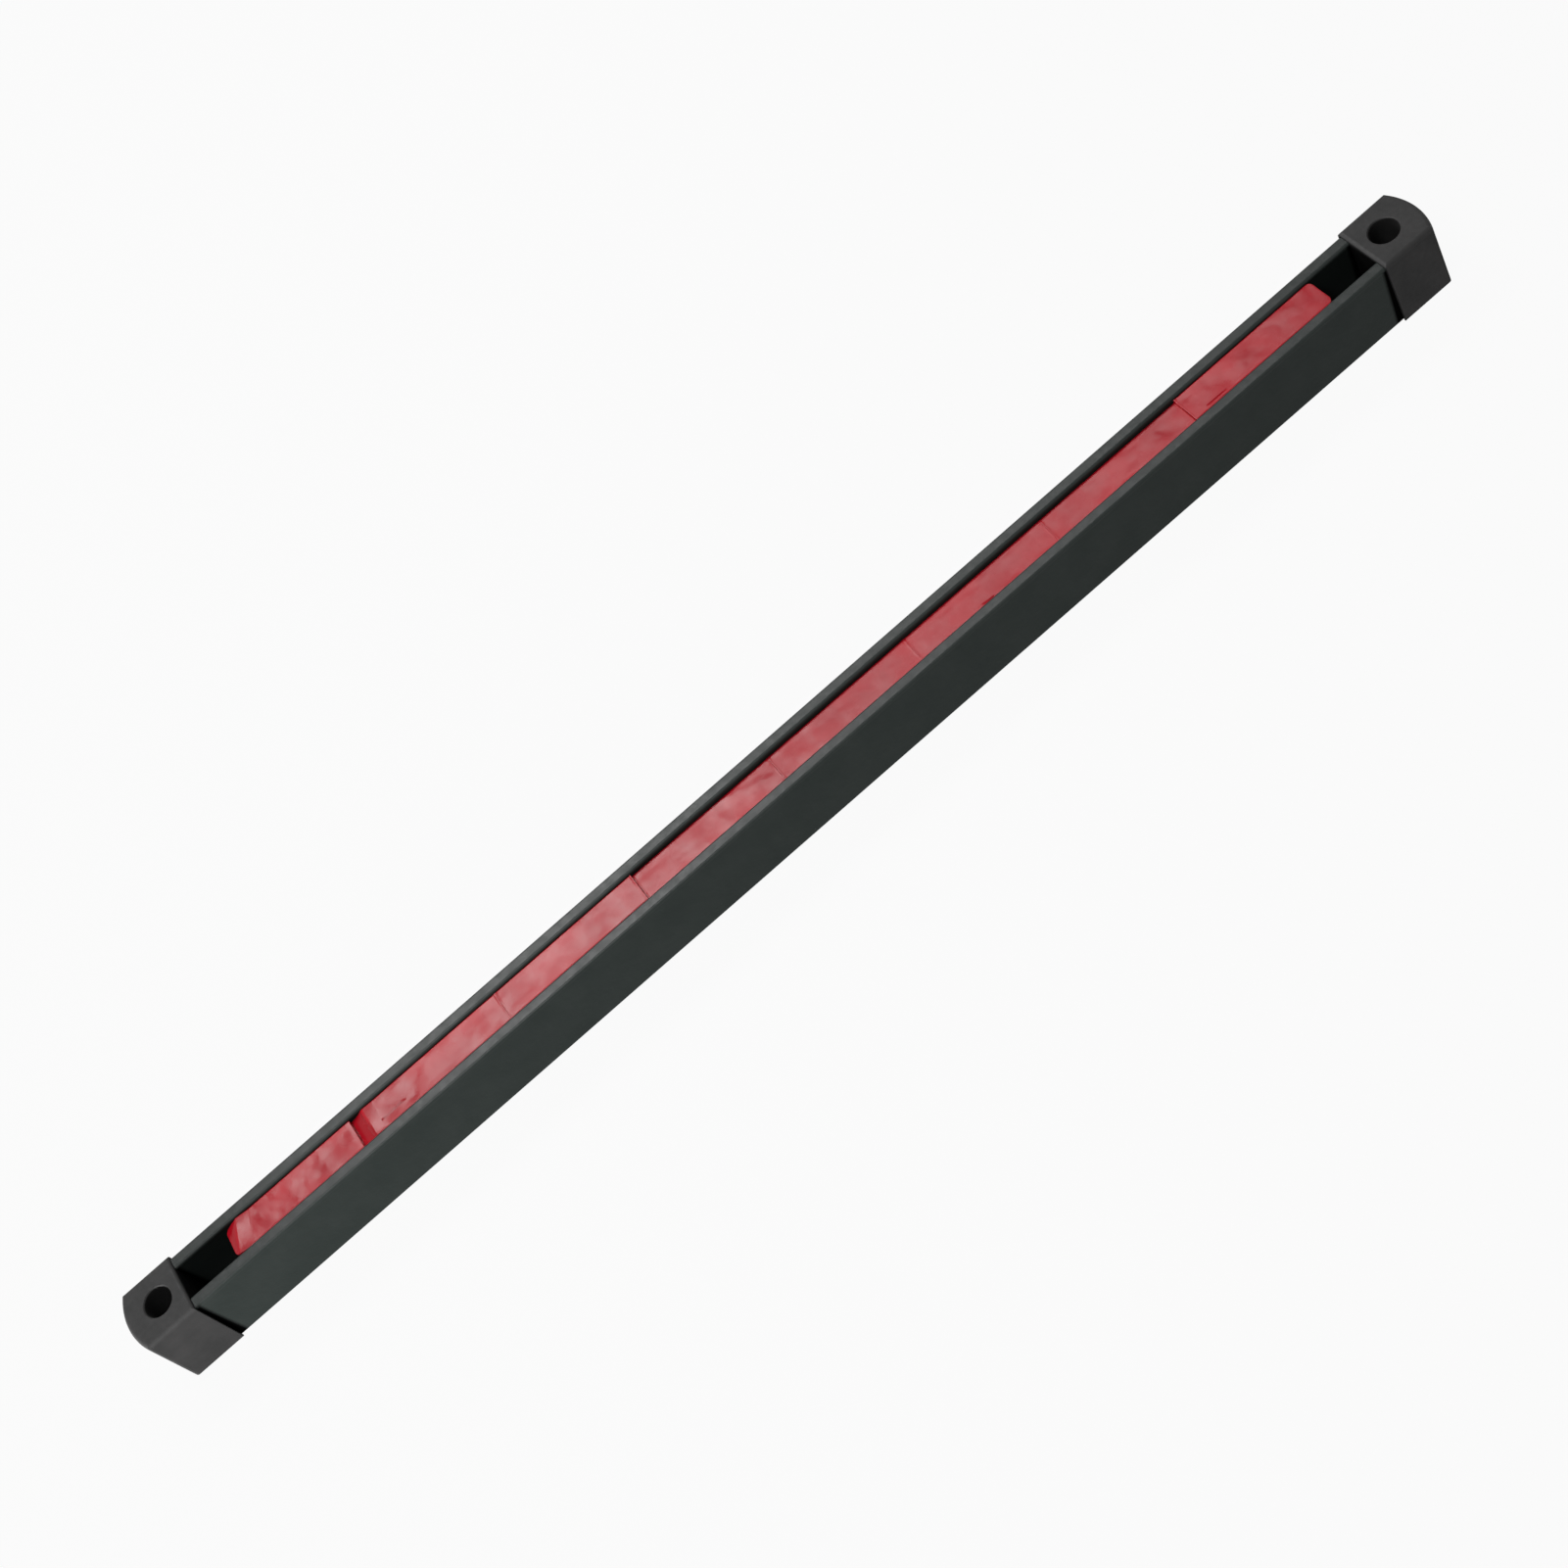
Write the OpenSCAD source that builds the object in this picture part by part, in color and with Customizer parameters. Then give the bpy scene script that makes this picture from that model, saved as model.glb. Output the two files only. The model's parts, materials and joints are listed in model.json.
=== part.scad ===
// Magnetic tool holder: a bar that keeps hand tools on a wall or a bench.
// Two flat steel bars stand on edge with a row of ferrite magnets between them, so that the magnets' pull comes
// out at the two rims. A red moulded cover fills the slot over each magnet, a plastic strip closes the back, and a
// moulded cap on each end holds the bars together and takes one screw.
// Lengths are in millimetres. X runs along the bar, Y across it and Z out of the working face.
// The origin is at the middle of the flat back.

/* [Steel bars] */
// Length of the holder over its two end caps
overall_len = 457; // [440:1:520]
// Height of a bar, from the back to the rim
rail_h = 22; // [20:0.5:30]
// Thickness of a bar
rail_t = 4; // [3:0.25:6]
// Width of the slot between the bars
slot_w = 10.9; // [10:0.1:16]
// Radius on the long edges of a bar
rail_edge = 0.8; // [0.3:0.1:1.2]

/* [End caps] */
// Length of a cap over its curved end
cap_len = 19; // [18:0.5:26]
// How far a cap stands out past the side of a bar
cap_side = 0.6; // [0.5:0.1:2]
// How far a cap stands above the rims
cap_top = 1; // [0.8:0.1:2]
// Rise of the curved end over its two corners
cap_bulge = 2.5; // [1.5:0.25:4]
// Radius on the top edges of a cap
cap_edge = 1.2; // [0.4:0.1:1.5]
// Radius on the two upright corners of the curved end
cap_corner = 1; // [0.4:0.1:1.6]
// Depth of the sockets that the bars push into
socket_depth = 12; // [8:0.5:13]
// Clearance round a bar in its socket
socket_fit = 0.1; // [0.05:0.05:0.3]
// Thickness of the outer wall where the end is cored out
cap_wall = 1.8; // [1.2:0.1:2.2]
// Thickness of the inner walls and the rib of the cored end
core_rib = 1.2; // [0.8:0.1:1.5]
// Thickness of plastic over the cored end
core_roof = 2.4; // [1.5:0.1:5]

/* [Screw holes] */
// Distance from the end of a cap to the centre of its hole
hole_inset = 10.9; // [9.5:0.1:12]
// Diameter of the hole for the screw's shank
screw_d = 4.5; // [3.5:0.1:6]
// Diameter of the recess for the screw's head
head_d = 8.8; // [7:0.1:9.6]
// Thickness of plastic under the screw's head
seat_t = 6; // [3:0.5:10]
// Chamfer at the mouth of the recess
mouth_chamfer = 0.3; // [0.1:0.05:0.6]

/* [Back strip] */
// Thickness of the strip that closes the back
strip_t = 2.5; // [2:0.25:4]
// Depth of the groove along the back of the strip
strip_groove = 1; // [0.5:0.1:1.2]
// Width of the lip on each side of that groove
strip_lip = 2; // [1.5:0.1:3]
// Clearance between the strip's end and the cap
strip_fit = 0.2; // [0.1:0.05:0.5]

/* [Magnets and covers] */
// Least length of open slot between a cap and the nearest cover
end_space = 10; // [5:0.5:14]
// How far the row of covers sits towards the right-hand cap
row_shift = 0.8; // [-3:0.1:3]
// Length of a cover
cover_len = 48.4; // [40:0.1:50]
// Gap between neighbouring covers
cover_gap = 0.1; // [0.05:0.05:0.5]
// Clearance between a cover and each bar
cover_fit = 0.1; // [0.05:0.05:0.3]
// Depth of the low covers' tops below the rims
low_sink = 1.7; // [1.4:0.1:5]
// How much higher the raised covers stand
cover_rise = 0.9; // [0.3:0.1:1.2]
// Radius on the long edges of a cover's top
cover_edge = 0.3; // [0.1:0.05:0.6]
// Radius on the end edges of a cover's top
cover_nose = 0.15; // [0.1:0.05:0.6]
// Length of the first cover's slope towards the cap
end_slope = 2.8; // [1:0.1:6]
// Length of the notch across the first cover, where it meets the second
notch_len = 4; // [1:0.1:6]
// Depth of that slope and of that notch
first_cut = 1.5; // [0.5:0.1:2]
// Thickness of a cover over its magnet
cover_top = 1.5; // [1.2:0.1:2.5]
// Thickness of a cover at the ends of its magnet
cover_end = 2.2; // [1.5:0.1:3]
// Radius on the upright corners of a cover
cover_corner = 0.4; // [0.2:0.1:0.8]
// Radius on the upright corners at the two ends of the row
row_corner = 2; // [0.5:0.1:2.2]
// Clearance between a magnet's end and its cover
magnet_fit = 0.15; // [0.05:0.05:0.4]
// Chamfer on the edges of a magnet
magnet_chamfer = 0.5; // [0.2:0.1:1]

/* [Hidden] */
$fn = 64;

// How far a cutting tool runs past the faces that it opens
past = 1;

// Bars
body_w = slot_w + 2 * rail_t;
half_len = overall_len / 2;
cap_inner_x = half_len - cap_len;
rail_len = 2 * (cap_inner_x + socket_depth);

// Caps
cap_w = body_w + 2 * cap_side;
cap_h = rail_h + cap_top;
arc_r = (pow(cap_w / 2, 2) + pow(cap_bulge, 2)) / (2 * cap_bulge);
arc_x = half_len - arc_r;
hole_x = half_len - hole_inset;
socket_end_x = rail_len / 2 + socket_fit;

// Covers: as many as the slot has room for, numbered along +X
cover_pitch = cover_len + cover_gap;
row_room = 2 * (cap_inner_x - end_space - abs(row_shift));
cover_count = floor((row_room + cover_gap) / cover_pitch);
row_len = cover_count * cover_pitch - cover_gap;
function cover_x(i) = row_shift + (i - (cover_count - 1) / 2) * cover_pitch;

// The covers at the start of the row are raised ones, and so is the last one
high_covers = 3;
function raised(i) = i < high_covers || i == cover_count - 1;

// Width of a cover, and its height over the back strip
cover_w = slot_w - 2 * cover_fit;
low_h = rail_h - low_sink - strip_t;
function cover_h(i) = raised(i) ? low_h + cover_rise : low_h;

// Magnets
magnet_h = low_h - cover_top;
magnet_len = cover_len - 2 * (cover_end + magnet_fit);

// Every separate piece, and the one to draw

// A rectangle centred on X, standing on Y = 0, with rounded upper corners
module arch(w, h, r) {
  difference() {
    translate([-w / 2, 0]) square([w, h]);
    for (side = [-1, 1]) {
      translate([side * (w / 2 - r), h - r]) spandrel(r, side);
    }
  }
}

// The waste outside a quarter circle, in the corner towards side and up
module spandrel(r, side) {
  difference() {
    translate([side > 0 ? 0 : -r - past, 0]) square([r + past, r + past]);
    circle(r);
  }
}

// A rectangle centred on the origin, with four rounded corners
module rounded_plan(l, w, r) {
  difference() {
    square([l, w], center = true);
    for (side = [-1, 1], turn = [0, 180]) {
      rotate(turn) translate([side * (l / 2 - r), w / 2 - r]) spandrel(r, side);
    }
  }
}

// A rectangle standing on Y = 0, with four chamfered corners
module chamfered(w, h, c) {
  polygon([
    [-w / 2 + c, 0], [w / 2 - c, 0], [w / 2, c], [w / 2, h - c],
    [w / 2 - c, h], [-w / 2 + c, h], [-w / 2, h - c], [-w / 2, c]
  ]);
}

// Stretches a profile drawn in Y and Z along X, centred
module along_x(l) {
  translate([-l / 2, 0, 0]) rotate([90, 0, 90]) linear_extrude(l) children();
}

// Stretches a profile drawn in X and Z along Y, centred
module along_y(l) {
  translate([0, l / 2, 0]) rotate([90, 0, 0]) linear_extrude(l) children();
}

// One flat steel bar on edge, on the side given
module rail(side) {
  color("#3b3f3e")
  translate([0, side * (slot_w + rail_t) / 2, rail_h / 2])
  along_x(rail_len) rounded_plan(rail_t, rail_h, rail_edge);
}

module rail_front() { rail(-1); }
module rail_rear() { rail(1); }

// Plastic strip between the bars at the back, hollowed along its length
module back_strip() {
  color("#232524")
  along_x(2 * (cap_inner_x - strip_fit)) difference() {
    translate([-slot_w / 2, 0]) square([slot_w, strip_t]);
    translate([-slot_w / 2 + strip_lip, -past]) square([slot_w - 2 * strip_lip, strip_groove + past]);
  }
}

// Outer form of the right-hand cap: a block with a bowed end, rounded at the top and at its two outer corners
module cap_form() {
  difference() {
    intersection() {
      translate([arc_x, 0, 0]) rotate_extrude() cap_turned();
      translate([cap_inner_x + cap_len / 2, 0, 0]) along_x(cap_len) arch(cap_w, cap_h, cap_edge);
      translate([half_len, 0, 0]) along_y(cap_w) arch(2 * cap_len, cap_h, cap_edge);
    }
    translate([0, 0, -past]) linear_extrude(cap_h + 2 * past) {
      corner_waste();
      mirror([0, 1]) corner_waste();
    }
  }
}

// The waste outside one rounded corner, between the side of the cap and the arc of its end
module corner_waste() {
  reach = arc_r - cap_corner;
  y = cap_w / 2 - cap_corner;
  x = sqrt(pow(reach, 2) - pow(y, 2));
  out = (arc_r + past) / reach;
  translate([arc_x, 0]) difference() {
    polygon([[x, y], [x, cap_w / 2 + past], [arc_r + past, cap_w / 2 + past], [x * out, y * out]]);
    translate([x, y]) circle(cap_corner);
  }
}

// Half section of the round blank that the bowed end is part of
module cap_turned() {
  intersection() {
    square([arc_r, cap_h]);
    arch(2 * arc_r, cap_h, cap_edge);
  }
}

// Sockets for the two bars, open to the back and to the inner face
module cap_sockets() {
  for (side = [-1, 1]) {
    translate([cap_inner_x - past, side * (slot_w + rail_t) / 2 - rail_t / 2 - socket_fit, -past])
    cube([socket_end_x - cap_inner_x + past, rail_t + 2 * socket_fit, rail_h + socket_fit + past]);
  }
}

// Screw hole with its deep recess for the head
module cap_hole() {
  translate([hole_x, 0, 0]) {
    translate([0, 0, -past]) cylinder(h = seat_t + 2 * past, d = screw_d);
    translate([0, 0, seat_t]) cylinder(h = cap_h, d = head_d);
    translate([0, 0, cap_h - mouth_chamfer])
    cylinder(h = mouth_chamfer + past, d1 = head_d, d2 = head_d + 2 * (mouth_chamfer + past));
  }
}

// The two pockets cored into the back of the bowed end, with a rib between them
module cap_core() {
  core_x = socket_end_x + core_rib;
  difference() {
    intersection() {
      translate([arc_x, 0, -past]) cylinder(h = cap_h - core_roof + past, r = arc_r - cap_wall);
      translate([core_x, -cap_w / 2 + cap_wall, -past])
      cube([half_len - core_x, cap_w - 2 * cap_wall, cap_h]);
    }
    translate([hole_x, 0, -2 * past]) cylinder(h = cap_h + 2 * past, d = head_d + 2 * core_rib);
    translate([core_x - past, -core_rib / 2, -2 * past]) cube([cap_len, core_rib, cap_h + 2 * past]);
  }
}

module end_cap_right() {
  color("#4a4b4b")
  difference() {
    cap_form();
    cap_sockets();
    cap_hole();
    cap_core();
  }
}

module end_cap_left() {
  mirror([1, 0, 0]) end_cap_right();
}

// Ferrite block number i, counted from 0, standing on the back strip
module magnet(i) {
  color("#4d4a48")
  translate([cover_x(i), 0, strip_t]) intersection() {
    along_x(magnet_len) chamfered(slot_w, magnet_h, magnet_chamfer);
    along_y(slot_w) chamfered(magnet_len, magnet_h, magnet_chamfer);
  }
}

// Red cover number i, counted from 0: a bridge over the top and the ends of its magnet
module magnet_cover(i) {
  color("#c8202c")
  translate([cover_x(i), 0, strip_t]) difference() {
    intersection() {
      linear_extrude(rail_h) cover_plan(i);
      along_x(cover_len) arch(cover_w, cover_h(i), cover_edge);
      along_y(cover_w) cover_profile(i);
    }
    translate([-magnet_len / 2 - magnet_fit, -slot_w / 2, -past])
    cube([magnet_len + 2 * magnet_fit, slot_w, magnet_h + past]);
  }
}

// Outline of a cover from above, with the larger corners where it ends the row
module cover_plan(i) {
  intersection() {
    rounded_plan(cover_len, cover_w, cover_corner);
    translate([row_shift - cover_x(i), 0]) rounded_plan(row_len, cover_w, row_corner);
  }
}

// Side view of a cover. The first one slopes down towards the cap, and at its other end a notch crosses it, with a
// floor that rises to the second cover.
module cover_profile(i) {
  if (i == 0) {
    polygon([
      [-cover_len / 2, 0], [cover_len / 2, 0], [cover_len / 2, cover_h(i)],
      [cover_len / 2 - notch_len, cover_h(i) - first_cut], [cover_len / 2 - notch_len, cover_h(i)],
      [-cover_len / 2 + end_slope, cover_h(i)], [-cover_len / 2, cover_h(i) - first_cut]
    ]);
  } else {
    arch(cover_len, cover_h(i), cover_nose);
  }
}

rail_front();
rail_rear();
back_strip();
end_cap_left();
end_cap_right();
for (i = [0 : cover_count - 1]) {
  magnet(i);
  magnet_cover(i);
}
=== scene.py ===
# %% [markdown]
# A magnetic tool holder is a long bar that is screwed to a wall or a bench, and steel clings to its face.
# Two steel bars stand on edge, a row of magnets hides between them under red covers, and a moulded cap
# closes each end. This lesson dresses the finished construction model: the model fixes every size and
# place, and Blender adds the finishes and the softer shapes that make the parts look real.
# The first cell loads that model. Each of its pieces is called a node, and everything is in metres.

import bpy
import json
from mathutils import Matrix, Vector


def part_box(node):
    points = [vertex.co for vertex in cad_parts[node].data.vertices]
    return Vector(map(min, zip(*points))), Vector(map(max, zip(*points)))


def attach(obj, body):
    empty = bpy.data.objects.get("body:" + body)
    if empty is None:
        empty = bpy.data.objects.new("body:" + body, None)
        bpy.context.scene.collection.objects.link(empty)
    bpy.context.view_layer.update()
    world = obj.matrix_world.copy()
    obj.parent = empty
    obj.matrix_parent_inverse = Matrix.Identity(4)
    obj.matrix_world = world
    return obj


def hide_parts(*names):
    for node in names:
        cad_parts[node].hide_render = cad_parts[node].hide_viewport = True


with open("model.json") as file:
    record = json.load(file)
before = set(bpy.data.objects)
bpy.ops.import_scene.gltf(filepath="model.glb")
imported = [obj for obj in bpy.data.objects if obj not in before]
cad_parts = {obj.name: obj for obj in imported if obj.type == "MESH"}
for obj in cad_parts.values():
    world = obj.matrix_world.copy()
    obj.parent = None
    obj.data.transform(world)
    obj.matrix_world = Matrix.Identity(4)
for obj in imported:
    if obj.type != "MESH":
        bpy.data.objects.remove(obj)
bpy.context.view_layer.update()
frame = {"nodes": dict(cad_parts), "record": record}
nodes = frame["nodes"]

# %% Names from Blender that the lesson uses
import json
from math import radians

import bmesh
import bpy
from mathutils import Matrix, Quaternion, Vector

scene = bpy.context.scene
scene.view_settings.view_transform = "Standard"
mm = 0.001
print("colours are shown as", scene.view_settings.view_transform)

# %% [markdown]
# The camera comes first, because it tells us which sides matter most.
# The picture was taken from in front of the bar and well above it, with the camera turned on its side, so
# the bar runs from the lower left corner to the upper right one.
# A camera can be placed by typing three angles, but an aim point is easier to think about: the camera looks
# from one place to another, and then rolls about its own line of sight.

# %% Camera
eye = Vector((0.5, -448.6, 564.5)) * mm
aim_point = Vector((-0.4, 2.1, 11)) * mm
roll = radians(-41.23)

bpy.ops.object.camera_add(location=eye)
camera = bpy.context.object
camera.name = "camera"
camera.data.sensor_width = 36
camera.data.lens = 60.4
camera.data.clip_start = 0.01
camera.rotation_mode = "QUATERNION"
look = (aim_point - eye).to_track_quat("-Z", "Y")
camera.rotation_quaternion = look @ Quaternion((0, 0, 1), roll)
scene.camera = camera
print("camera", round((aim_point - eye).length, 3), "m from the bar")

# %% [markdown]
# The stage is a plain pale floor under a white sky, with no colour of its own.
# A floor that is lit until it is white would burn out the object too. So the floor keeps a grey paint, and
# only for what the camera and the reflections see is most of it swapped for plain white. What is left of
# the paint still shows the soft shadow that ties the object to the floor.
# Blender's light path node tells which rays are looking. A first helper adds the node that does sums,
# because every recipe below needs it too.

# %% Sums and white for the eye
def combine(tree, operation, *values):
    """Adds a Math node and gives its result. Each value is a number or another node's output."""
    sums = tree.nodes.new("ShaderNodeMath")
    sums.operation = operation
    for socket, value in zip(sums.inputs, values):
        if isinstance(value, (int, float)):
            socket.default_value = value
        else:
            tree.links.new(value, socket)
    return sums.outputs[0]


def white_for_the_eye(tree, shader, white_kind, share):
    """Mixes a share of white into a shader, but only where the camera, a reflection or glass sees it."""
    path = tree.nodes.new("ShaderNodeLightPath")
    seen = combine(tree, "MAXIMUM", path.outputs["Is Camera Ray"], path.outputs["Is Glossy Ray"])
    seen = combine(tree, "MAXIMUM", seen, path.outputs["Is Transmission Ray"])
    white = tree.nodes.new(white_kind)
    white.inputs["Color"].default_value = (1, 1, 1, 1)
    mix = tree.nodes.new("ShaderNodeMixShader")
    tree.links.new(combine(tree, "MULTIPLY", seen, share), mix.inputs["Fac"])
    tree.links.new(shader.outputs[0], mix.inputs[1])
    tree.links.new(white.outputs[0], mix.inputs[2])
    return mix.outputs[0]


# %% Floor
floor_size = 12
floor_grey = 0.25
bpy.ops.mesh.primitive_plane_add(size=floor_size, location=(0, 0, 0))
floor = bpy.context.object
floor.name = "floor"
floor_paint = bpy.data.materials.new("floor_paint")
floor_paint.use_nodes = True
paint_tree = floor_paint.node_tree
paint = paint_tree.nodes["Principled BSDF"]
paint.inputs["Base Color"].default_value = (floor_grey, floor_grey, floor_grey, 1)
paint.inputs["Roughness"].default_value = 0.9
paint.inputs["Specular IOR Level"].default_value = 0
floor_mix = white_for_the_eye(paint_tree, paint, "ShaderNodeEmission", share=0.94)
paint_tree.links.new(floor_mix, paint_tree.nodes["Material Output"].inputs["Surface"])
floor.data.materials.append(floor_paint)
print("floor", floor_size, "m wide, painted grey", floor_grey)

# %% [markdown]
# Dark glossy things are drawn by what they mirror, so the lamps are placed by their reflections.
# A level face mirrors, for this camera, a place high up behind the bar. Two wide lamps hang there. Their
# glare turns the red covers pink and lifts the rims out of the black, and it fades to the right, where the
# lamp is weaker.
# The near faces mirror nothing bright. A small lamp that stands low and far to the left rakes along them
# instead, so they darken to the right too, and a cap that stands proud shades the bar beside it.
# A fourth lamp in front, high on the left, fills in the colour of the covers.
# The sky gives hardly any light, because it would brighten the slot and the holes, which have to stay dark.

# %% Sky
sky_strength = 0.05
world = bpy.data.worlds.new("soft_sky")
world.use_nodes = True
scene.world = world
sky_tree = world.node_tree
sky = sky_tree.nodes["Background"]
sky.inputs["Color"].default_value = (1, 1, 1, 1)
sky.inputs["Strength"].default_value = sky_strength
sky_mix = white_for_the_eye(sky_tree, sky, "ShaderNodeBackground", share=1)
sky_tree.links.new(sky_mix, sky_tree.nodes["World Output"].inputs["Surface"])
print("sky strength", sky_strength)


# %% Lamps
def soft_lamp(name, place, size, watts):
    """Adds a rectangular lamp that faces the middle of the bar. Its place and size are in metres."""
    bpy.ops.object.light_add(type="AREA", location=place)
    lamp = bpy.context.object
    lamp.name = name
    lamp.data.shape = "RECTANGLE"
    lamp.data.size, lamp.data.size_y = size
    lamp.data.energy = watts
    lamp.rotation_mode = "QUATERNION"
    lamp.rotation_quaternion = (aim_point - Vector(place)).to_track_quat("-Z", "Y")
    print(name, "of", watts, "W at", place)


soft_lamp("back_lamp", place=(-0.22, 0.71, 0.97), size=(0.46, 0.32), watts=7.8)
soft_lamp("back_fill", place=(0.27, 0.71, 0.97), size=(0.5, 0.32), watts=3.8)
soft_lamp("left_lamp", place=(-0.85, -0.34, 0.04), size=(0.25, 0.06), watts=24)
soft_lamp("top_lamp", place=(-0.3, -0.3, 1.05), size=(0.5, 0.3), watts=7)

# %% [markdown]
# Every finish is built from nodes, with no picture files. The first helpers give the raw values: a cloudy
# noise that sits still on the object, and where on the object a place lies. A picture wrapped round the
# pieces could do the same, but nodes stay sharp at any distance and need no unwrapping.

# %% Values from nodes
finishes = {}


def start_finish(name):
    """Starts a finish under the name that the construction model has for it."""
    material = bpy.data.materials.new(name)
    material.use_nodes = True
    finishes[name] = material
    tree = material.node_tree
    return tree, tree.nodes["Principled BSDF"]


def noise(tree, cells_per_m, detail=2.0, stretch=(1, 1, 1)):
    """A cloudy pattern on the object's own coordinates. Its stretch is the scale along X, Y and Z."""
    place = tree.nodes.new("ShaderNodeTexCoord")
    mapping = tree.nodes.new("ShaderNodeMapping")
    mapping.inputs["Scale"].default_value = stretch
    pattern = tree.nodes.new("ShaderNodeTexNoise")
    pattern.inputs["Scale"].default_value = cells_per_m
    pattern.inputs["Detail"].default_value = detail
    tree.links.new(place.outputs["Object"], mapping.inputs["Vector"])
    tree.links.new(mapping.outputs["Vector"], pattern.inputs["Vector"])
    return pattern.outputs["Fac"]


def place_along(tree, axis):
    """How far along X, Y or Z a place on the object lies, in metres."""
    place = tree.nodes.new("ShaderNodeTexCoord")
    parts = tree.nodes.new("ShaderNodeSeparateXYZ")
    tree.links.new(place.outputs["Object"], parts.inputs["Vector"])
    return parts.outputs[axis]


cap_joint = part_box("end_cap_right")[0].x
print("the caps start", round(cap_joint / mm, 1), "mm from the middle")


def distance_from_cap(tree):
    """How far a place lies from where the nearer cap starts, towards the middle of the object, in metres."""
    return combine(tree, "SUBTRACT", cap_joint, combine(tree, "ABSOLUTE", place_along(tree, "X")))


# %% [markdown]
# The next helpers turn such values into something to look at: a range of numbers, a mix of colours, or a
# fine relief in the skin. Relief stays for what is too fine to model, such as grain.

# %% From values to colour and relief
def span(tree, value, low, high, start=0.35, end=0.65):
    """Turns a value from start to end, the middle of a noise if not told, into one from low to high."""
    ramp = tree.nodes.new("ShaderNodeMapRange")
    for key, number in (("From Min", start), ("From Max", end), ("To Min", low), ("To Max", high)):
        ramp.inputs[key].default_value = number
    tree.links.new(value, ramp.inputs["Value"])
    return ramp.outputs["Result"]


def blend_colours(tree, value, first, second):
    """Mixes two colours, each of them numbers or another node's output, by a value from 0 to 1."""
    mix = tree.nodes.new("ShaderNodeMix")
    mix.data_type = "RGBA"
    for key, colour in (("A", first), ("B", second)):
        if isinstance(colour, tuple):
            mix.inputs[key].default_value = (*colour, 1)
        else:
            tree.links.new(colour, mix.inputs[key])
    tree.links.new(value, mix.inputs["Factor"])
    return mix.outputs["Result"]


def relief(tree, shader, *layers):
    """Adds one bump for each (pattern, height in metres)."""
    normal = None
    for pattern, height in layers:
        bump = tree.nodes.new("ShaderNodeBump")
        bump.inputs["Distance"].default_value = height
        tree.links.new(pattern, bump.inputs["Height"])
        if normal:
            tree.links.new(normal, bump.inputs["Normal"])
        normal = bump.outputs["Normal"]
    tree.links.new(normal, shader.inputs["Normal"])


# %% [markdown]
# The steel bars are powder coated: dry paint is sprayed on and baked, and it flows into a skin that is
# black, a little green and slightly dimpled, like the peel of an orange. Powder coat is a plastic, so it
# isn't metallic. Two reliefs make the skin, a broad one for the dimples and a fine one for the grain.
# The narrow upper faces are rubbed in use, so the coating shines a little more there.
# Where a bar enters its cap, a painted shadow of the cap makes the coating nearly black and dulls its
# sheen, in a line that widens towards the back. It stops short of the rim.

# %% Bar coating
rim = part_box("rail_front")[1].z
joint_shade = (0.001, 0.001, 0.001)

tree, shader = start_finish("bar_coating")
height = place_along(tree, "Z")
# The painted shadow beside each cap: its width, and masks that are 1 outside it.
shadow_width = span(tree, height, 2.2 * mm, 0.9 * mm, start=0, end=rim - 1 * mm)
past_shadow = combine(tree, "SUBTRACT", distance_from_cap(tree), shadow_width)
unshaded_side = span(tree, past_shadow, 0, 1, start=-0.4 * mm, end=0.6 * mm)
unshaded_rim = span(tree, height, 0, 1, start=rim - 1 * mm, end=rim - 0.4 * mm)
unshaded = combine(tree, "MAXIMUM", unshaded_side, unshaded_rim)

cloud = span(tree, noise(tree, 90, detail=4), 0, 1)
black = blend_colours(tree, cloud, (0.0130, 0.0165, 0.0153), (0.0155, 0.0190, 0.0177))
# Painted shadow: inside the band the colour turns to the nearly black joint_shade.
tree.links.new(blend_colours(tree, unshaded, joint_shade, black), shader.inputs["Base Color"])
tree.links.new(span(tree, noise(tree, 400), 0.28, 0.36), shader.inputs["Roughness"])
shader.inputs["Specular IOR Level"].default_value = 0.09
# The sheen is turned off inside the painted shadow too.
shine = span(tree, height, 0.05, 0.14, start=rim - 1.2 * mm, end=rim - 0.2 * mm)
tree.links.new(combine(tree, "MULTIPLY", shine, unshaded), shader.inputs["Specular IOR Level"])
relief(tree, shader, (noise(tree, 420, detail=1), 0.05 * mm), (noise(tree, 2600, detail=1), 0.02 * mm))
print("bar_coating has", len(tree.nodes), "nodes")

# %% [markdown]
# The end caps are moulded in a dark grey plastic. The mould is etched, so the skin has a fine even grain,
# and it is a shade lighter and drier than the bars. The caps' tops are handled, so they shine a little more
# than their sides. Their inner ends, in the slot, are painted nearly black as painted shade for the deep end
# of the slot.

# %% Cap plastic
cap_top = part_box("end_cap_right")[1].z
slot_shade = (0.002, 0.002, 0.002)

tree, shader = start_finish("cap_plastic")
cloud = span(tree, noise(tree, 120, detail=3), 0, 1)
grey = blend_colours(tree, cloud, (0.018, 0.018, 0.018), (0.024, 0.0235, 0.0235))
# Painted shade: the cap's inner end, in the slot, turns to the nearly black slot_shade.
shaded_inner_end = span(tree, distance_from_cap(tree), 0, 1, start=-0.3 * mm, end=-0.05 * mm)
tree.links.new(blend_colours(tree, shaded_inner_end, grey, slot_shade), shader.inputs["Base Color"])
tree.links.new(span(tree, noise(tree, 700), 0.48, 0.6), shader.inputs["Roughness"])
shader.inputs["Specular IOR Level"].default_value = 0.09
shine = span(tree, place_along(tree, "Z"), 0.05, 0.145, start=cap_top - 1.5 * mm, end=cap_top - 0.4 * mm)
tree.links.new(shine, shader.inputs["Specular IOR Level"])
relief(tree, shader, (noise(tree, 3200, detail=2), 0.03 * mm))
print("cap_plastic has", len(tree.nodes), "nodes")

# %% [markdown]
# The covers are moulded in a clear strong red and left glossy. A broad shallow relief breaks up the glare
# on them into soft patches, as slightly uneven plastic does, and the gloss itself changes from place to
# place. The larger waves in their tops are modelled further down.

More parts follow.
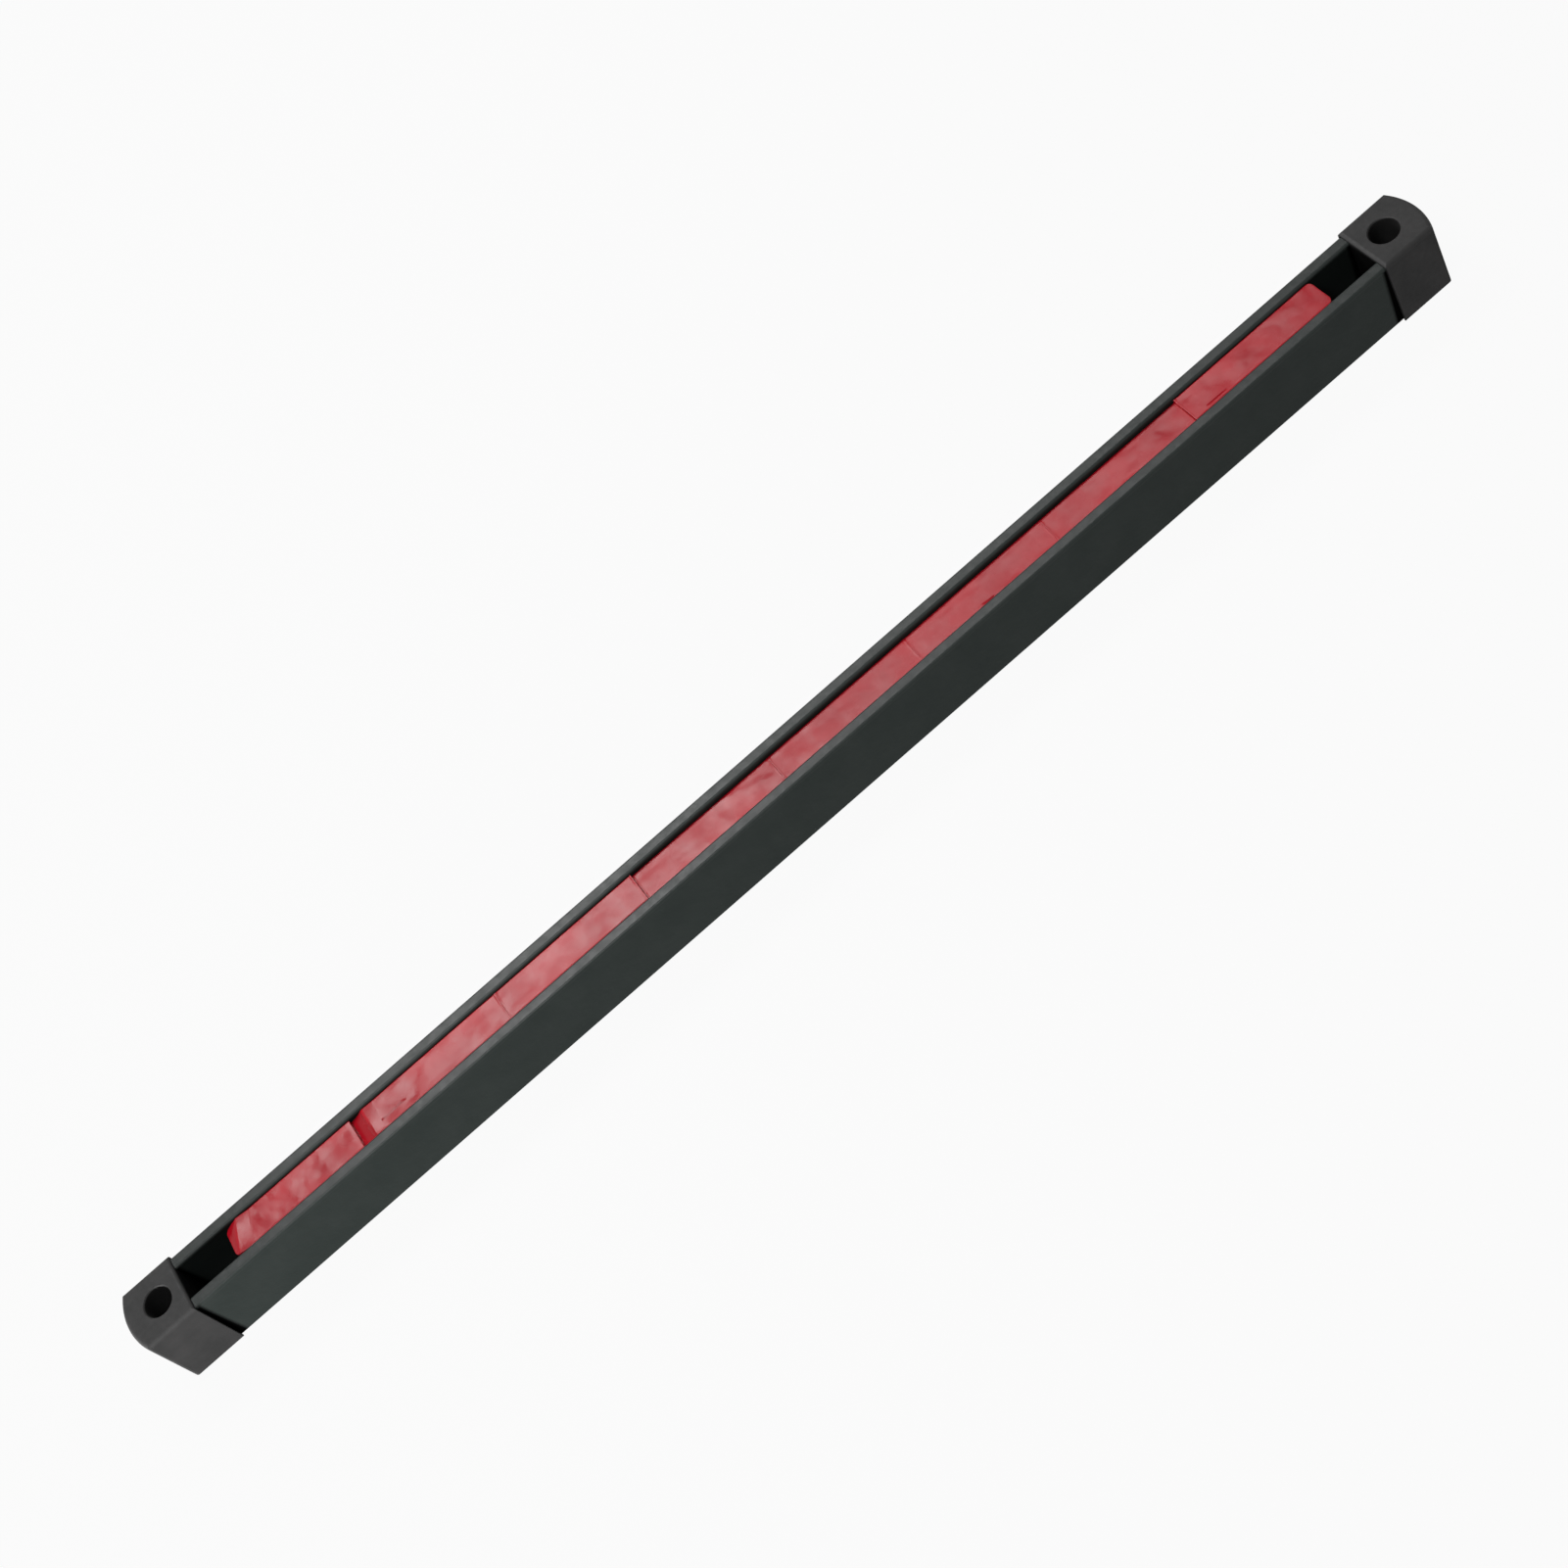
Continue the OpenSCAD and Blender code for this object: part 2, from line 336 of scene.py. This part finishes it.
# %% Cover red
tree, shader = start_finish("cover_red")
cloud = span(tree, noise(tree, 70, detail=3), 0, 1)
red = blend_colours(tree, cloud, (0.27, 0.003, 0.009), (0.33, 0.005, 0.012))
tree.links.new(red, shader.inputs["Base Color"])
tree.links.new(span(tree, noise(tree, 140, detail=3), 0.2, 0.32), shader.inputs["Roughness"])
shader.inputs["Specular IOR Level"].default_value = 0.16
relief(tree, shader, (noise(tree, 110, detail=2), 0.35 * mm), (noise(tree, 900, detail=1), 0.008 * mm))
print("cover_red has", len(tree.nodes), "nodes")

# %% [markdown]
# Two finishes are hardly seen from the front. The strip at the back is extruded, so its faint lines run
# along the bar, and the magnets are ground ferrite, a dull dark ceramic with a sandy grain.

# %% Strip plastic
tree, shader = start_finish("strip_plastic")
lines = noise(tree, 900, detail=2, stretch=(0.02, 1, 1))
grey = blend_colours(tree, lines, (0.018, 0.018, 0.018), (0.030, 0.030, 0.030))
tree.links.new(grey, shader.inputs["Base Color"])
tree.links.new(span(tree, lines, 0.4, 0.55), shader.inputs["Roughness"])
relief(tree, shader, (lines, 0.03 * mm))
print("strip_plastic has", len(tree.nodes), "nodes")

# %% Ferrite
tree, shader = start_finish("ferrite")
grain = noise(tree, 1500, detail=3)
grey = blend_colours(tree, grain, (0.055, 0.052, 0.050), (0.095, 0.090, 0.086))
tree.links.new(grey, shader.inputs["Base Color"])
tree.links.new(span(tree, grain, 0.55, 0.75), shader.inputs["Roughness"])
relief(tree, shader, (grain, 0.04 * mm))
print("ferrite has", len(tree.nodes), "nodes")

# %% [markdown]
# The construction model's own record says which finish each of its pieces has, so dressing them is one
# loop. The bars, the caps, the strip and the magnets are finished by that, because their shapes are right
# as they are. Only the covers get new shapes.

# %% Dress the pieces of the construction model
for part in frame["record"]["subparts"]:
    piece = nodes[part["node"]]
    piece.data.materials.clear()
    piece.data.materials.append(finishes[part["material_slot"]])

# %% [markdown]
# The construction model's covers have the right sizes, but they are too perfect. On the real ones the edges
# are soft, and the tops ripple where hot plastic shrank unevenly over the magnets, which breaks up the
# glare. Sculpting could do that, but the shape is plain and has exact sizes, so edit mode suits it better:
# a block is cut, extruded and bevelled. Each tool acts on what is selected, so these helpers select by
# place first.
# A cut joins points that are nearer to each other than its threshold. The usual tenth of a millimetre would
# swallow fine details here, so the threshold is a thousandth.

# %% Start a block and pick its parts
closest = 0.001 * mm
print("a cut joins only points that are nearer than", round(closest / mm, 4), "mm")


def start_block(name, size, middle):
    """Adds a block, sized and placed in millimetres, and opens it in edit mode."""
    bpy.ops.object.select_all(action="DESELECT")
    bpy.ops.mesh.primitive_cube_add(size=1, location=Vector(middle) * mm, scale=Vector(size) * mm)
    block = bpy.context.object
    block.name = name
    block.data.name = name
    bpy.ops.object.transform_apply(location=True, rotation=False, scale=True)
    bpy.ops.object.mode_set(mode="EDIT")
    return block


def middle_and_heading(edge):
    first, second = edge.verts
    return (first.co + second.co) / 2 / mm, (second.co - first.co).normalized()


def pick(kind, test):
    """Selects each vertex, face or sharp edge whose middle, in millimetres, and heading pass the test."""
    bpy.ops.mesh.select_mode(type=kind)
    bpy.ops.mesh.select_all(action="DESELECT")
    if kind == "EDGE":
        bpy.ops.mesh.edges_select_sharp(sharpness=radians(20))
    mesh = bpy.context.object.data
    form = bmesh.from_edit_mesh(mesh)
    if kind == "VERT":
        found = [v for v in form.verts if test(v.co / mm, v.normal)]
    elif kind == "FACE":
        found = [f for f in form.faces if test(f.calc_center_median() / mm, f.normal)]
    else:
        found = [e for e in form.edges if e.select and test(*middle_and_heading(e))]
    bpy.ops.mesh.select_all(action="DESELECT")
    for part in found:
        part.select_set(True)
    form.select_flush_mode()
    bmesh.update_edit_mesh(mesh)


# %% Shape what is picked
def cut(axis, places, test):
    """Cuts the faces that pass the test straight across an axis, at each place."""
    for place in places:
        pick("FACE", test)
        bpy.ops.mesh.bisect(plane_co=Vector(axis) * place * mm, plane_no=axis, threshold=closest)


def extrude(test, move):
    """Draws the faces that pass the test out by a move."""
    pick("FACE", test)
    bpy.ops.mesh.extrude_region_move(TRANSFORM_OT_translate={"value": Vector(move) * mm})


def shift(test, move):
    """Moves the vertices that pass the test."""
    pick("VERT", test)
    bpy.ops.transform.translate(value=Vector(move) * mm)


def soften(test, width, steps=2):
    """Bevels the edges that pass the test."""
    pick("EDGE", test)
    bpy.ops.mesh.bevel(offset_type="OFFSET", offset=width * mm, segments=steps, affect="EDGES")


# %% [markdown]
# A cover is a thick plate on two legs, one at each end of its magnet. Its sides need no walls, because the
# steel bars are there. The plate comes first, with its upright corners rounded before anything else, so
# that the legs that are drawn out of its underside have the same corners. Half of the covers are a little
# taller than the rest. All covers are a hair longer than in the construction model, to close the joints
# between them.

# %% Sizes of a cover
plate_thickness = 1.5
leg_length = 2.2
closing = 0.04
notch_depth = 1.5
low_corner, high_corner = (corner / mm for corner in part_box("magnet_cover_4"))
foot, low_top = low_corner.z, high_corner.z
high_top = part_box("magnet_cover_2")[1].z / mm
cover_half = (high_corner.x - low_corner.x) / 2 + closing
cover_side = high_corner.y
leg_inside = cover_half - leg_length
plate_bottom = low_top - plate_thickness
cover_size = (2 * cover_half, 2 * cover_side, low_top - foot)
print("a low cover measures", [round(side, 2) for side in cover_size], "mm")


# %% Start a cover
def start_cover(name, top, left_radius=0.4, right_radius=0.4):
    """One cover about X = 0, left in edit mode. The radii are those of its upright corners at each end."""
    size = (2 * cover_half, 2 * cover_side, top - plate_bottom)
    cover = start_block(name, size, (0, 0, (top + plate_bottom) / 2))
    for end, radius in ((-1, left_radius), (1, right_radius)):
        soften(lambda at, along: abs(along.z) > 0.9 and at.x * end > 0, radius, steps=5)
    cut((1, 0, 0), (-leg_inside, leg_inside), lambda at, out: out.z < -0.9)
    extrude(lambda at, out: out.z < -0.9 and abs(at.x) > leg_inside, (0, 0, foot - plate_bottom))
    return cover


# %% [markdown]
# Two of the covers aren't level all over. The first slopes down towards the cap, with a slanted crest that
# stands a little proud and catches the light, and at its other end a notch crosses it. The second curls up
# at the notch. All of that is folding: the top is cut along straight lines, and then each corner is lifted
# or lowered to the height that a side view gives for it. The lines are marked sharp, so that the shading
# keeps the folds crisp.

# %% Fold the top of a cover
def height_at(side_view, place):
    """Height over the level top at a place, from (place, height) pairs joined by straight lines."""
    for (start, low), (end, high) in zip(side_view, side_view[1:]):
        if start <= place <= end:
            return low + (high - low) * (place - start) / (end - start)
    return 0


def fold_top(side_view, lean=0):
    """Folds the level top to a side view. The folds cross the cover and lean towards +X at the far side."""
    for place, _ in side_view:
        pick("FACE", lambda at, out: out.z > 0.9)
        bpy.ops.mesh.bisect(plane_co=(place * mm, 0, 0), plane_no=(1, -lean, 0), threshold=closest)
        bpy.ops.mesh.mark_sharp()
    form = bmesh.from_edit_mesh(bpy.context.object.data)
    corners = [v.co / mm for v in form.verts if abs(v.co.z / mm - high_top) < 0.01]
    for corner in corners:
        lift = height_at(side_view, corner.x - lean * corner.y)
        if lift:
            shift(lambda at, out: (at - corner).length < 0.001, (0, 0, lift))


# %% [markdown]
# The ripple needs points to move. The top is cut into small squares, they are named as a vertex group, and
# a Displace modifier with a cloud texture moves only that group. Applied after each copy is in its place,
# the same texture gives every cover its own ripple. The squares stop short of the edges, which are softened
# last.

# %% Squares on top, soft edges
ripple_end = 23.4
square = 1.3
level_edge = 0.55
squares_each_side = 4


def square_up(top, left=-ripple_end, right=ripple_end):
    """Cuts the level top face into small squares, and names the inner points for the ripple."""
    reach = cover_side - level_edge
    steps = round((right - left) / square)
    along = [left + (right - left) * step / steps for step in range(steps + 1)]
    across = [reach * step / squares_each_side for step in range(-squares_each_side, squares_each_side + 1)]

    def level(at, out):
        return out.z > 0.99 and abs(at.z - top) < 0.01

    cut((1, 0, 0), along, lambda at, out: level(at, out) and left - 1 < at.x < right + 1)
    cut((0, 1, 0), across, lambda at, out: level(at, out) and left < at.x < right)
    pick("VERT", lambda at, out: abs(at.z - top) < 0.01 and left < at.x < right and abs(at.y) < reach - 0.1)
    bpy.ops.object.vertex_group_assign_new()


def finish_cover():
    """Softens the edges round the top and at the feet."""
    upper = high_top - notch_depth - 0.1
    soften(lambda at, along: at.z > upper and abs(along.x) > 0.9, 0.45, steps=4)
    soften(lambda at, along: at.z > upper and abs(along.y) > 0.9, 0.04)
    soften(lambda at, along: at.z < foot + 0.01, 0.15)
    bpy.ops.object.mode_set(mode="OBJECT")
    print(bpy.context.object.name, "has", len(bpy.context.object.data.polygons), "faces")


# %% [markdown]
# Five kinds of cover make the row. The outer ends of the first and the last have rounder corners than the
# rest.

# %% The first cover and the second
kinds = {}
left_end, right_end = -cover_half, cover_half
slope_view = ((left_end - 2, -1.33), (left_end + 3.2, 0.6), (left_end + 6.9, 0))
notch_view = ((right_end - 3.6, 0), (right_end - 3.55, -notch_depth), (right_end, -0.35))
curl_view = ((left_end, -0.35), (left_end + 1.2, 0.2), (left_end + 4.2, 0))

kinds["first"] = start_cover("cover_first", high_top, left_radius=2)
fold_top(slope_view, lean=0.33)
fold_top(notch_view)
square_up(high_top, left=left_end + 9, right=right_end - 3.8)
finish_cover()

kinds["second"] = start_cover("cover_second", high_top)
fold_top(curl_view)
square_up(high_top, left=left_end + 4.4)
finish_cover()

# %% The level covers
kinds["raised"] = start_cover("cover_raised", high_top)
square_up(high_top)
finish_cover()

kinds["low"] = start_cover("cover_low", low_top)
square_up(low_top)
finish_cover()

kinds["last"] = start_cover("cover_last", high_top, right_radius=2)
square_up(high_top, right=22)
finish_cover()

# %% [markdown]
# Small nicks show where something hard has struck the covers. Bump could draw them, but a groove that is
# really there looks right from every side, so each nick is cut into the top and its middle line is pressed
# down. Each entry below gives a cover's number and the left, right, near and far end of its nick.

# %% Nicks
nick_depth = 0.25
nicks = {2: (-141, -132, -2.7, -1.8), 6: (71, 75, -4.6, -3.9), 8: (151, 158, -4.3, -3.4)}
print("nicks in covers", list(nicks))


def nick(top, left, right, near, far):
    """Presses a small groove into the top, deepest along its middle."""
    middle = (near + far) / 2

    def top_face(at, out):
        return out.z > 0.9 and abs(at.z - top) < 0.01

    def middle_line(at, out):
        inside = left + 0.1 < at.x < right - 0.1
        return inside and abs(at.y - middle) < 0.01 and at.z > top - 0.01

    cut((1, 0, 0), (left, right), lambda at, out: top_face(at, out) and near - 4 < at.y < far + 4)
    cut((0, 1, 0), (near, middle, far), lambda at, out: top_face(at, out) and left < at.x < right)
    shift(middle_line, (0, 0, -nick_depth))


# %% [markdown]
# Now the row: one of each odd kind, one more tall one, four low ones and the last. Each is copied with a
# mesh of its own, moved to where the construction model has it, nicked, and rippled there. Its place is in
# its mesh, and the object itself stays at the origin, so a pattern on its coordinates runs on from cover to
# cover.

# %% Ripple
ripple = bpy.data.textures.new("cover_ripple", "CLOUDS")
ripple.noise_scale = 7 * mm
ripple.noise_depth = 1
ripple_height = 0.45 * mm


def add_ripple(piece):
    """Moves the named points of the active piece up or down, by at most half the ripple's height."""
    wave = piece.modifiers.new("ripple", "DISPLACE")
    wave.texture = ripple
    wave.strength = ripple_height
    wave.mid_level = 0.5
    wave.vertex_group = piece.vertex_groups[0].name
    wave.direction = "Z"
    bpy.ops.object.modifier_apply(modifier=wave.name)
    piece.vertex_groups.clear()


print("ripple", round(ripple_height / mm, 2), "mm from crest to trough")

# %% Lay out the row of covers
row = ("first", "second", "raised", "low", "low", "low", "low", "last")
for number, kind in enumerate(row, start=1):
    node = f"magnet_cover_{number}"
    low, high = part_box(node)
    piece = kinds[kind].copy()
    piece.data = kinds[kind].data.copy()
    piece.name = f"red_cover_{number}"
    piece.data.name = piece.name
    scene.collection.objects.link(piece)
    piece.data.transform(Matrix.Translation(((low.x + high.x) / 2, 0, 0)))
    bpy.ops.object.select_all(action="DESELECT")
    piece.select_set(True)
    bpy.context.view_layer.objects.active = piece
    if number in nicks:
        bpy.ops.object.mode_set(mode="EDIT")
        nick(high.z / mm, *nicks[number])
        bpy.ops.object.mode_set(mode="OBJECT")
    add_ripple(piece)
    bpy.ops.object.shade_smooth_by_angle(angle=radians(25))
    piece.data.materials.clear()
    piece.data.materials.append(finishes["cover_red"])
    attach(piece, "root")
    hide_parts(node)
for model in kinds.values():
    bpy.data.objects.remove(model)
print("covers in the row:", len(row))
